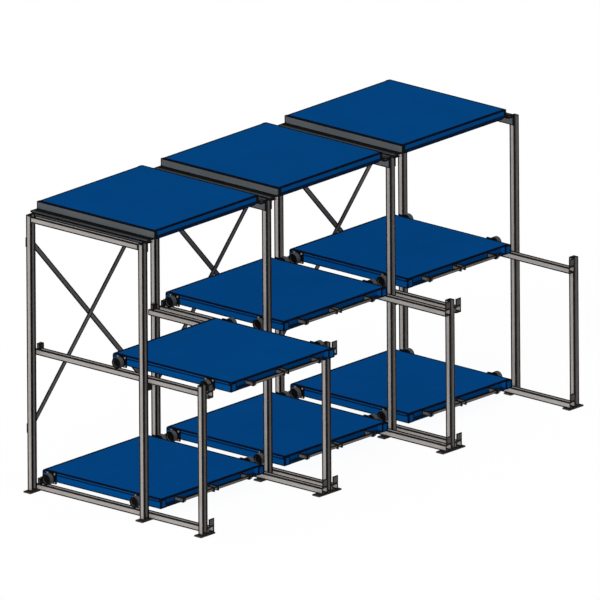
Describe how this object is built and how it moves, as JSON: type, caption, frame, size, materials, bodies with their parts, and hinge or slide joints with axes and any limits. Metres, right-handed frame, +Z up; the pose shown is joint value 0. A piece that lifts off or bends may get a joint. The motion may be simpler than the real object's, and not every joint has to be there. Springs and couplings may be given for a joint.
{
  "type": "mould storage rack",
  "caption": "Open steel rack for heavy moulds: bays of pull-out drawer decks on wheels and rails, a fixed shelf over each bay, crossed braces behind and a drawer pulled out.",
  "frame": {"origin": "middle of the rack's footprint on the floor, with one drawer pulled out as in the picture", "axes": "+X along the bays to the right as seen from the front, -Y the way the drawers pull out, +Z up"},
  "size_m": [3.706, 1.694, 1.925],
  "materials": {
    "steel": "satin",
    "handle_steel": "satin",
    "blue_paint": "satin",
    "grey_paint": "satin",
    "black_steel": "matt",
    "wheel_black": "matt"
  },
  "bodies": {
    "rack": {"rear_posts": "steel", "middle_posts": "steel", "front_posts": "steel", "base_plates": "steel", "lower_rails": "steel", "upper_rails": "steel", "rail_end_stops": "steel", "rear_buffers": "steel", "top_ties": "steel", "shelf_deck_left": "blue_paint", "shelf_deck_centre": "blue_paint", "shelf_deck_right": "blue_paint", "shelf_side_members": "grey_paint", "shelf_supports": "grey_paint", "braces_rising": "steel", "braces_falling": "steel", "brace_gussets": "steel", "brace_bolts": "steel"},
    "drawer_left_lower": {"drawer_left_lower_deck": "blue_paint", "drawer_left_lower_frame": "blue_paint", "drawer_left_lower_handle_arms": "grey_paint", "drawer_left_lower_handle_bar": "handle_steel", "drawer_left_lower_roller_plates": "black_steel"},
    "drawer_left_lower_front_wheel_pair": {"drawer_left_lower_front_wheels": "wheel_black"},
    "drawer_left_lower_rear_wheel_pair": {"drawer_left_lower_rear_wheels": "wheel_black"},
    "drawer_left_upper": {"drawer_left_upper_deck": "blue_paint", "drawer_left_upper_frame": "blue_paint", "drawer_left_upper_handle_arms": "grey_paint", "drawer_left_upper_handle_bar": "handle_steel", "drawer_left_upper_roller_plates": "black_steel"},
    "drawer_left_upper_front_wheel_pair": {"drawer_left_upper_front_wheels": "wheel_black"},
    "drawer_left_upper_rear_wheel_pair": {"drawer_left_upper_rear_wheels": "wheel_black"},
    "drawer_centre_lower": {"drawer_centre_lower_deck": "blue_paint", "drawer_centre_lower_frame": "blue_paint", "drawer_centre_lower_handle_arms": "grey_paint", "drawer_centre_lower_handle_bar": "handle_steel", "drawer_centre_lower_roller_plates": "black_steel"},
    "drawer_centre_lower_front_wheel_pair": {"drawer_centre_lower_front_wheels": "wheel_black"},
    "drawer_centre_lower_rear_wheel_pair": {"drawer_centre_lower_rear_wheels": "wheel_black"},
    "drawer_centre_upper": {"drawer_centre_upper_deck": "blue_paint", "drawer_centre_upper_frame": "blue_paint", "drawer_centre_upper_handle_arms": "grey_paint", "drawer_centre_upper_handle_bar": "handle_steel", "drawer_centre_upper_roller_plates": "black_steel"},
    "drawer_centre_upper_front_wheel_pair": {"drawer_centre_upper_front_wheels": "wheel_black"},
    "drawer_centre_upper_rear_wheel_pair": {"drawer_centre_upper_rear_wheels": "wheel_black"},
    "drawer_right_lower": {"drawer_right_lower_deck": "blue_paint", "drawer_right_lower_frame": "blue_paint", "drawer_right_lower_handle_arms": "grey_paint", "drawer_right_lower_handle_bar": "handle_steel", "drawer_right_lower_roller_plates": "black_steel"},
    "drawer_right_lower_front_wheel_pair": {"drawer_right_lower_front_wheels": "wheel_black"},
    "drawer_right_lower_rear_wheel_pair": {"drawer_right_lower_rear_wheels": "wheel_black"},
    "drawer_right_upper": {"drawer_right_upper_deck": "blue_paint", "drawer_right_upper_frame": "blue_paint", "drawer_right_upper_handle_arms": "grey_paint", "drawer_right_upper_handle_bar": "handle_steel", "drawer_right_upper_roller_plates": "black_steel"},
    "drawer_right_upper_front_wheel_pair": {"drawer_right_upper_front_wheels": "wheel_black"},
    "drawer_right_upper_rear_wheel_pair": {"drawer_right_upper_rear_wheels": "wheel_black"}
  },
  "joints": [
    {"name": "drawer_left_lower_slide", "type": "slide", "parent": "rack", "child": "drawer_left_lower", "axis": [0, -1, 0], "range_m": [0, 0.607]},
    {"name": "drawer_left_lower_front_roll", "type": "hinge", "parent": "drawer_left_lower", "child": "drawer_left_lower_front_wheel_pair", "pos_m": [-1.2, -0.026, 0.0883], "axis": [1, 0, 0], "continuous": true},
    {"name": "drawer_left_lower_rear_roll", "type": "hinge", "parent": "drawer_left_lower", "child": "drawer_left_lower_rear_wheel_pair", "pos_m": [-1.2, 0.725, 0.0883], "axis": [1, 0, 0], "continuous": true},
    {"name": "drawer_left_upper_slide", "type": "slide", "parent": "rack", "child": "drawer_left_upper", "axis": [0, -1, 0], "range_m": [-0.607, 0]},
    {"name": "drawer_left_upper_front_roll", "type": "hinge", "parent": "drawer_left_upper", "child": "drawer_left_upper_front_wheel_pair", "pos_m": [-1.2, -0.633, 0.9933], "axis": [1, 0, 0], "continuous": true},
    {"name": "drawer_left_upper_rear_roll", "type": "hinge", "parent": "drawer_left_upper", "child": "drawer_left_upper_rear_wheel_pair", "pos_m": [-1.2, 0.118, 0.9933], "axis": [1, 0, 0], "continuous": true},
    {"name": "drawer_centre_lower_slide", "type": "slide", "parent": "rack", "child": "drawer_centre_lower", "axis": [0, -1, 0], "range_m": [0, 0.607]},
    {"name": "drawer_centre_lower_front_roll", "type": "hinge", "parent": "drawer_centre_lower", "child": "drawer_centre_lower_front_wheel_pair", "pos_m": [0, -0.026, 0.0883], "axis": [1, 0, 0], "continuous": true},
    {"name": "drawer_centre_lower_rear_roll", "type": "hinge", "parent": "drawer_centre_lower", "child": "drawer_centre_lower_rear_wheel_pair", "pos_m": [0, 0.725, 0.0883], "axis": [1, 0, 0], "continuous": true},
    {"name": "drawer_centre_upper_slide", "type": "slide", "parent": "rack", "child": "drawer_centre_upper", "axis": [0, -1, 0], "range_m": [0, 0.607]},
    {"name": "drawer_centre_upper_front_roll", "type": "hinge", "parent": "drawer_centre_upper", "child": "drawer_centre_upper_front_wheel_pair", "pos_m": [0, -0.026, 0.9933], "axis": [1, 0, 0], "continuous": true},
    {"name": "drawer_centre_upper_rear_roll", "type": "hinge", "parent": "drawer_centre_upper", "child": "drawer_centre_upper_rear_wheel_pair", "pos_m": [0, 0.725, 0.9933], "axis": [1, 0, 0], "continuous": true},
    {"name": "drawer_right_lower_slide", "type": "slide", "parent": "rack", "child": "drawer_right_lower", "axis": [0, -1, 0], "range_m": [0, 0.607]},
    {"name": "drawer_right_lower_front_roll", "type": "hinge", "parent": "drawer_right_lower", "child": "drawer_right_lower_front_wheel_pair", "pos_m": [1.2, -0.026, 0.0883], "axis": [1, 0, 0], "continuous": true},
    {"name": "drawer_right_lower_rear_roll", "type": "hinge", "parent": "drawer_right_lower", "child": "drawer_right_lower_rear_wheel_pair", "pos_m": [1.2, 0.725, 0.0883], "axis": [1, 0, 0], "continuous": true},
    {"name": "drawer_right_upper_slide", "type": "slide", "parent": "rack", "child": "drawer_right_upper", "axis": [0, -1, 0], "range_m": [0, 0.607]},
    {"name": "drawer_right_upper_front_roll", "type": "hinge", "parent": "drawer_right_upper", "child": "drawer_right_upper_front_wheel_pair", "pos_m": [1.2, -0.026, 0.9933], "axis": [1, 0, 0], "continuous": true},
    {"name": "drawer_right_upper_rear_roll", "type": "hinge", "parent": "drawer_right_upper", "child": "drawer_right_upper_rear_wheel_pair", "pos_m": [1.2, 0.725, 0.9933], "axis": [1, 0, 0], "continuous": true}
  ],
  "couplings": [
    {"joint": "drawer_left_lower_front_roll", "follows": "drawer_left_lower_slide", "rad_per_m": 26.316},
    {"joint": "drawer_left_lower_rear_roll", "follows": "drawer_left_lower_slide", "rad_per_m": 26.316},
    {"joint": "drawer_left_upper_front_roll", "follows": "drawer_left_upper_slide", "rad_per_m": 26.316},
    {"joint": "drawer_left_upper_rear_roll", "follows": "drawer_left_upper_slide", "rad_per_m": 26.316},
    {"joint": "drawer_centre_lower_front_roll", "follows": "drawer_centre_lower_slide", "rad_per_m": 26.316},
    {"joint": "drawer_centre_lower_rear_roll", "follows": "drawer_centre_lower_slide", "rad_per_m": 26.316},
    {"joint": "drawer_centre_upper_front_roll", "follows": "drawer_centre_upper_slide", "rad_per_m": 26.316},
    {"joint": "drawer_centre_upper_rear_roll", "follows": "drawer_centre_upper_slide", "rad_per_m": 26.316},
    {"joint": "drawer_right_lower_front_roll", "follows": "drawer_right_lower_slide", "rad_per_m": 26.316},
    {"joint": "drawer_right_lower_rear_roll", "follows": "drawer_right_lower_slide", "rad_per_m": 26.316},
    {"joint": "drawer_right_upper_front_roll", "follows": "drawer_right_upper_slide", "rad_per_m": 26.316},
    {"joint": "drawer_right_upper_rear_roll", "follows": "drawer_right_upper_slide", "rad_per_m": 26.316}
  ]
}
